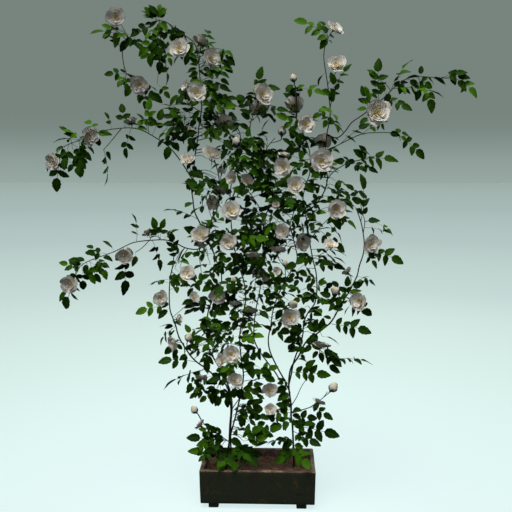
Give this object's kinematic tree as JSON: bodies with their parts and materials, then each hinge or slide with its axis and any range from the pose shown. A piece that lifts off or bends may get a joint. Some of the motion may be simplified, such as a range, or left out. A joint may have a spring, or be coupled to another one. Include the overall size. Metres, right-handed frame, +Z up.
{
  "type": "potted climbing rose",
  "caption": "White climbing rose, free-standing and see-through, growing from an oblong glazed trough on four low feet.",
  "frame": {"origin": "under the middle of the whole outline, on the surface that the trough's feet stand on", "axes": "+Z up, -Y towards the front that the picture shows, +X to the right along the trough"},
  "size_m": [1.8104, 0.4362, 2.1251],
  "materials": {
    "trough": "dark mottled brown and green glaze, worn pale along the rim",
    "soil": "damp crumbly potting soil",
    "stem": "green leaves and brown-green canes, satin",
    "petal": "soft white petals, warm towards the middle"
  },
  "bodies": {
    "root": {"trough": "trough", "soil": "soil", "left_outer_cane": "stem", "left_inner_cane": "stem", "upper_left_cane": "stem", "left_arc_upper": "stem", "left_arc_lower": "stem", "left_front_cane": "stem", "right_outer_cane": "stem", "right_centre_cane": "stem", "right_inner_cane": "stem", "right_back_cane": "stem", "tall_right_cane": "stem", "right_arc_upper": "stem", "right_arc_lower": "stem", "right_arc_third": "stem", "centre_top_cane": "stem", "bloom_01": "petal", "bloom_02": "petal", "bloom_03": "petal", "bloom_04": "petal", "bloom_05": "petal", "bloom_06": "petal", "bloom_07": "petal", "bloom_08": "petal", "bloom_09": "petal", "bloom_10": "petal", "bloom_11": "petal", "bloom_12": "petal", "bloom_13": "petal", "bloom_14": "petal", "bloom_15": "petal", "bloom_16": "petal", "bloom_17": "petal", "bloom_18": "petal", "bloom_19": "petal", "bloom_20": "petal", "bloom_21": "petal", "bloom_22": "petal", "bloom_23": "petal", "bloom_24": "petal", "bloom_25": "petal", "bloom_26": "petal", "bloom_27": "petal", "bloom_28": "petal", "bloom_29": "petal", "bloom_30": "petal", "bloom_31": "petal", "bloom_32": "petal", "bloom_33": "petal", "bloom_34": "petal", "bloom_35": "petal", "bloom_36": "petal", "bloom_37": "petal", "bloom_38": "petal", "bloom_39": "petal", "bloom_40": "petal", "bloom_41": "petal", "bloom_42": "petal", "bloom_43": "petal"}
  },
  "joints": []
}
